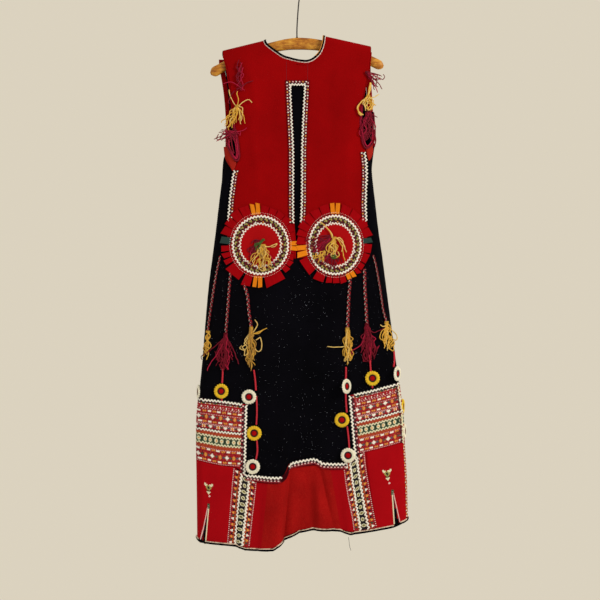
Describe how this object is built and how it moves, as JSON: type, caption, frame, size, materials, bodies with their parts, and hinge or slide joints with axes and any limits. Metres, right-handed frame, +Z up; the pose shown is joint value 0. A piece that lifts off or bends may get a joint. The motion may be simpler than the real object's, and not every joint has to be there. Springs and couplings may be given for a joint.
{
  "type": "embroidered sleeveless folk dress on a wooden hanger",
  "caption": "Long sleeveless black wool folk dress with a red bib, tabbed discs, tasselled braids and a worked hem, hung on an arched wooden hanger",
  "frame": {"origin": "the point under the top of the hanger's wire loop, where a nail or hook carries the whole thing", "axes": "+Z up along the length of the dress, the front of the dress faces -Y, +X runs to the right as the front is looked at"},
  "size_m": [0.4898, 0.0981, 1.3057],
  "materials": {
    "black_wool": "matt fulled wool",
    "brick_wool": "matt worn wool",
    "cord": "twisted cotton",
    "cream_braid": "woven braid",
    "crimson_yarn": "soft wool yarn",
    "gold_crochet": "crocheted cotton",
    "orange_wool": "matt wool",
    "plait": "plaited wool",
    "red_wool": "matt wool",
    "white_crochet": "crocheted cotton",
    "wire": "dull dark wire",
    "wood": "varnished",
    "worked_cloth": "close needlework",
    "yellow_yarn": "soft wool yarn"
  },
  "bodies": {
    "root": {"armhole_roll_l": "crimson_yarn", "armhole_roll_r": "crimson_yarn", "armhole_tassel_l": "crimson_yarn", "armhole_tassel_r": "crimson_yarn", "back_armhole_band_l": "red_wool", "back_armhole_band_r": "red_wool", "back_body": "black_wool", "back_hem": "red_wool", "braid_l1": "plait", "braid_l2": "plait", "braid_l3": "plait", "braid_r1": "plait", "braid_r2": "plait", "braid_r3": "plait", "centre_hem": "brick_wool", "cord_l2": "cord", "cord_l3": "cord", "cord_r1": "cord", "disc_l": "red_wool", "disc_r": "red_wool", "disc_tassel_l": "yellow_yarn", "disc_tassel_r": "yellow_yarn", "embroidered_panel_l": "worked_cloth", "embroidered_panel_r": "worked_cloth", "front_bib": "red_wool", "front_body": "black_wool", "gusset_l": "orange_wool", "gusset_r": "orange_wool", "hanger_bar": "wood", "hanger_wire": "wire", "hem_binding": "black_wool", "hem_top_trim": "cream_braid", "neck_binding": "black_wool", "rosette_l1": "gold_crochet", "rosette_l2": "white_crochet", "rosette_l3": "gold_crochet", "rosette_l4": "white_crochet", "rosette_l5": "white_crochet", "rosette_r1": "white_crochet", "rosette_r2": "gold_crochet", "rosette_r3": "white_crochet", "rosette_r4": "gold_crochet", "rosette_r5": "white_crochet", "rosette_r6": "gold_crochet", "rosette_r7": "white_crochet", "side_hem_l": "red_wool", "side_hem_r": "red_wool", "side_trim_l": "cream_braid", "side_trim_r": "cream_braid", "slot_trim": "cream_braid", "tab_ring_l": "red_wool", "tab_ring_r": "red_wool", "tassel_l1": "yellow_yarn", "tassel_l2": "crimson_yarn", "tassel_l3": "yellow_yarn", "tassel_r1": "yellow_yarn", "tassel_r2": "crimson_yarn", "tassel_r3": "yellow_yarn", "vertical_band_l": "orange_wool", "vertical_band_r": "orange_wool"}
  },
  "joints": []
}
